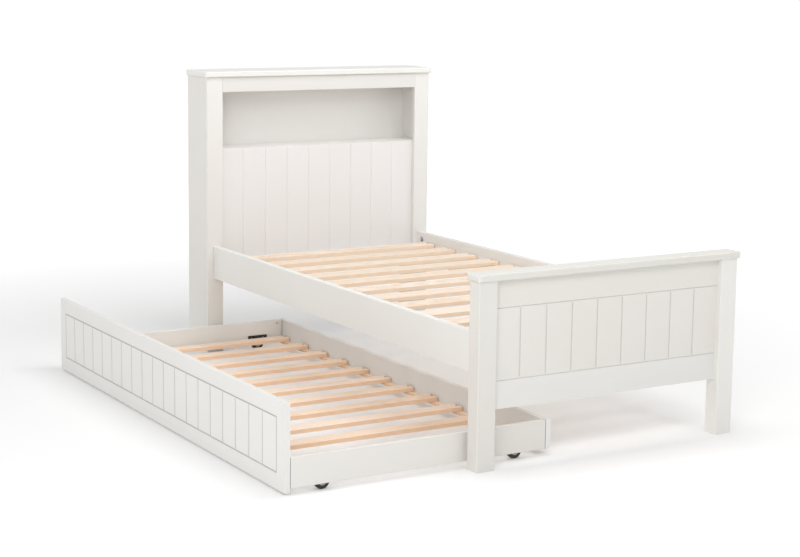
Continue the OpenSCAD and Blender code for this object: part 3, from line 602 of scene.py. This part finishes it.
def cross(reach):
    quarter = math.pi / 2
    return lambda angle: slot(reach)((angle + quarter / 2) % quarter - quarter / 2)


def finish_mesh(mesh, name, node, body, material, sharp=35):
    """Makes a piece that rides on a body and stands for a CAD node."""
    bmesh.ops.recalc_face_normals(mesh, faces=mesh.faces)
    data = bpy.data.meshes.new(name)
    mesh.to_mesh(data)
    mesh.free()
    data.shade_smooth()
    data.set_sharp_from_angle(angle=math.radians(sharp))
    data.materials.append(material)
    piece = bpy.data.objects.new(name, data)
    bpy.context.scene.collection.objects.link(piece)
    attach(piece, body)
    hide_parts(node)


def stack(mesh, place, rings):
    """Skins a stack of (outline, height) rings, and closes both ends."""
    loops = []
    for outline, height in rings:
        points = [(outline(a) * math.cos(a), outline(a) * math.sin(a), height) for a in ANGLES]
        loops.append([mesh.verts.new(place @ Vector(point)) for point in points])
    for below, above in zip(loops, loops[1:]):
        for step in range(TURN_STEPS):
            after = (step + 1) % TURN_STEPS
            mesh.faces.new((below[step], below[after], above[after], above[step]))
    mesh.faces.new(loops[0])
    mesh.faces.new(loops[-1])


def lie_of(group):
    """Where a turned solid lies: its head's middle with +Z out of it, its length, and its two radii."""
    lo, hi = span_of(group)
    size = hi - lo
    axis = max(range(3), key=lambda i: size[i])
    across = [i for i in range(3) if i != axis]
    middle = (lo + hi) / 2
    reach = []
    for end in (lo[axis], hi[axis]):
        near = [point for point in group if abs(point[axis] - end) < 0.2 * MM]
        reach.append(max(math.hypot(*(point[i] - middle[i] for i in across)) for point in near))
    sign = 1 if reach[1] > reach[0] else -1
    out = Vector([sign if i == axis else 0 for i in range(3)])
    at = middle.copy()
    at[axis] = hi[axis] if sign > 0 else lo[axis]
    place = Matrix.Translation(at) @ out.to_track_quat("Z", "X").to_matrix().to_4x4()
    return place, size[axis], max(reach), min(reach)


def wood_screws(node, body, material):
    """Countersunk screws with a cross recess and a drawn point."""
    mesh = bmesh.new()
    for group in islands(node):
        place, length, head, shank = lie_of(group)
        taper = head - shank
        drive = cross(0.52 * head)
        narrow = cross(0.30 * head)
        stack(mesh, place, [
            (disc(0.15 * shank), -length), (disc(0.75 * shank), -length + 2.2 * shank),
            (disc(shank), -length + 3.2 * shank), (disc(shank), -taper - 0.3 * MM),
            (disc(shank + 0.12 * MM), -taper), (disc(head - 0.1 * MM), -0.3 * MM),
            (disc(head), -0.18 * MM), (disc(head - 0.15 * MM), 0),
            (drive, 0), (drive, -0.06 * MM), (narrow, -0.42 * head), (disc(0.05 * head), -0.5 * head)])
    finish_mesh(mesh, node + "_formed", node, body, material)


for node, body, material, material_slot in (
        ("back_panel_screws", "bed_frame", ZINC, "zinc_steel"),
        ("bed_slat_screws", "bed_frame", BLACK_STEEL, "black_screws"),
        ("ledger_screws", "bed_frame", BLACK_STEEL, "black_screws"),
        ("trundle_slat_screws", "trundle", BLACK_STEEL, "black_screws"),
        ("trundle_ledger_screws", "trundle", BLACK_STEEL, "black_screws"),
        ("caster_screws", "trundle", ZINC, "zinc_steel")):
    wood_screws(node, body, material)


def headed_bolts(node, body, drive_size, head_depth):
    """Bolts with a domed head and a hexagonal recess."""
    mesh = bmesh.new()
    for group in islands(node):
        place, length, head, shank = lie_of(group)
        drive = hexagon(drive_size)
        stack(mesh, place, [
            (disc(0.8 * shank), -length), (disc(shank), -length + 0.25 * shank), (disc(shank), -head_depth),
            (disc(head - 0.2 * MM), -head_depth), (disc(head), -head_depth + 0.2 * MM),
            (disc(head), -0.45 * head_depth), (disc(0.93 * head), -0.18 * head_depth),
            (disc(0.78 * head), -0.03 * head_depth), (disc(0.66 * head), 0),
            (drive, 0), (hexagon(0.94 * drive_size), -0.15 * head_depth),
            (hexagon(0.94 * drive_size), -0.65 * head_depth), (disc(0.2 * drive_size), -0.75 * head_depth)])
    finish_mesh(mesh, node + "_formed", node, body, ZINC, 30)


headed_bolts("trundle_corner_bolts", "trundle", 2 * MM, 4 * MM)
headed_bolts("caster_axles", "trundle", 2.5 * MM, 4 * MM)


def let_in_fittings(node, drive_of, depth):
    """Round fittings let into the end boards, with a driver recess in the face that shows."""
    mesh = bmesh.new()
    foot_board_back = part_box("trundle_foot_end")[1].y
    for group in islands(node):
        lo, hi = span_of(group)
        radius = (hi.x - lo.x) / 2
        at_foot = hi.y < foot_board_back + radius
        at = Vector(((lo.x + hi.x) / 2, hi.y if at_foot else lo.y, (lo.z + hi.z) / 2))
        out = Vector((0, 1 if at_foot else -1, 0))
        place = Matrix.Translation(at) @ out.to_track_quat("Z", "X").to_matrix().to_4x4()
        drive, floor = drive_of(0.62 * radius), drive_of(0.5 * radius)
        stack(mesh, place, [
            (disc(radius - 0.3 * MM), lo.y - hi.y), (disc(radius), lo.y - hi.y + 0.3 * MM),
            (disc(radius), -0.3 * MM), (disc(radius - 0.3 * MM), 0), (disc(0.8 * radius), 0),
            (disc(0.76 * radius), -0.25 * MM), (drive, -0.25 * MM), (drive, -0.4 * MM),
            (floor, -depth), (disc(0.1 * radius), -depth - 0.2 * MM)])
    finish_mesh(mesh, node + "_formed", node, "trundle", ZINC, 30)


let_in_fittings("trundle_cam_locks", cross, 2.5 * MM)
let_in_fittings("trundle_barrel_nuts", slot, 1.5 * MM)


def lathe(mesh, centre, profile, shape):
    """Turns a closed (radius, along) profile about the wheel's axle. shape may move a point."""
    rings = []
    for step in range(WHEEL_STEPS):
        angle = 2 * math.pi * step / WHEEL_STEPS
        ring = []
        for point in profile:
            radius, along = shape(step, angle, *point)
            arm = Vector((radius * math.cos(angle), along, radius * math.sin(angle)))
            ring.append(mesh.verts.new(centre + arm))
        rings.append(ring)
    for step, ring in enumerate(rings):
        after = rings[(step + 1) % WHEEL_STEPS]
        for i in range(len(profile)):
            j = (i + 1) % len(profile)
            mesh.faces.new((ring[i], ring[j], after[j], after[i]))


def mirrored(half_profile):
    """A whole profile, from its half on one side of the wheel's middle plane."""
    return half_profile + [(radius, -along) for radius, along in reversed(half_profile)]


def make_tyre(corner):
    """A tyre with rounded shoulders, a rib on each wall, two grooves round the tread and fine cross cuts."""
    node = "wheel_tyre_" + corner
    lo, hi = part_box(node)
    hub_lo, hub_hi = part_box("wheel_hub_" + corner)
    outer, inner, half = (hi.x - lo.x) / 2, (hub_hi.x - hub_lo.x) / 2, (hi.y - lo.y) / 2
    groove, groove_half, depth = 0.42 * half, 0.5 * MM, 0.9 * MM
    profile = mirrored([
        (inner, half - 0.4 * MM), (inner + 0.4 * MM, half), (inner + 2.6 * MM, half),
        (inner + 3.0 * MM, half - 0.5 * MM), (inner + 3.9 * MM, half - 0.5 * MM), (inner + 4.3 * MM, half),
        (outer - 3.2 * MM, half), (outer - 2.1 * MM, half - 0.25 * MM),
        (outer - 1.0 * MM, half - 0.95 * MM), (outer - 0.3 * MM, half - 1.9 * MM), (outer, half - 3.0 * MM),
        (outer, groove + groove_half), (outer - depth, groove + groove_half / 2),
        (outer - depth, groove - groove_half / 2), (outer, groove - groove_half)])

    def tread(step, angle, radius, along):
        at_cut = step % (WHEEL_STEPS // TREAD_CUTS) == 0 and radius > outer - 0.5 * MM
        return radius - (0.35 * MM if at_cut else 0.0), along

    mesh = bmesh.new()
    lathe(mesh, (lo + hi) / 2, profile, tread)
    finish_mesh(mesh, node + "_formed", node, "wheel_" + corner, RUBBER, 40)


def make_hub(corner):
    """A moulded hub with a boss, a rim and six ribs across its dish."""
    node = "wheel_hub_" + corner
    lo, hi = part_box(node)
    axle = islands("caster_axles")[0]
    outer, half = (hi.x - lo.x) / 2, (hi.y - lo.y) / 2
    bore = lie_of(axle)[3] + AXLE_GAP
    boss, rim = bore + 2.0 * MM, outer - 2.6 * MM
    dish = 3.2 * MM
    profile = mirrored([
        (bore, half - 0.3 * MM), (bore + 0.3 * MM, half), (boss - 0.3 * MM, half), (boss, half - 0.3 * MM),
        (boss + 0.5 * MM, half - dish), ((boss + rim) / 2, half - dish), (rim - 0.5 * MM, half - dish),
        (rim, half - 0.3 * MM), (rim + 0.3 * MM, half), (outer - 0.3 * MM, half), (outer, half - 0.3 * MM)])

    def ribbed(step, angle, radius, along):
        if abs(along) > half - dish + 0.1 * MM:
            return radius, along
        rise = min(1.0, max(0.0, (math.cos(HUB_RIBS * angle) - 0.80) / 0.15)) * (dish - 0.8 * MM)
        return radius, math.copysign(abs(along) + rise, along)

    mesh = bmesh.new()
    lathe(mesh, (lo + hi) / 2, profile, ribbed)
    finish_mesh(mesh, node + "_formed", node, "wheel_" + corner, PLASTIC, 40)


for corner in CORNERS:
    make_tyre(corner)
    make_hub(corner)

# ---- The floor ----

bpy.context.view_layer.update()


def make_floor():
    mesh = bmesh.new()
    bmesh.ops.create_grid(mesh, x_segments=8, y_segments=8, size=FLOOR_SIZE / 2)
    data = bpy.data.meshes.new("floor")
    mesh.to_mesh(data)
    mesh.free()
    floor = bpy.data.objects.new("floor", data)
    bpy.context.scene.collection.objects.link(floor)
    g = Graph("floor")
    tone = g.noise(g.place(), 0.6, 3.0)
    away = g.vector("LENGTH", g.place())
    glow = g.ramp(away, GLOW_FROM, GLOW_TO, FLOOR_GLOW_NEAR, FLOOR_GLOW_FAR)
    g.put(g.shader.inputs["Emission Color"], rgb(1.0, 1.0, 1.0))
    g.put(g.shader.inputs["Emission Strength"], glow)
    pale = g.mix(tone, rgb(0.845, 0.845, 0.845), rgb(0.835, 0.835, 0.837))
    data.materials.append(g.finish(pale, 0.6))


make_floor()
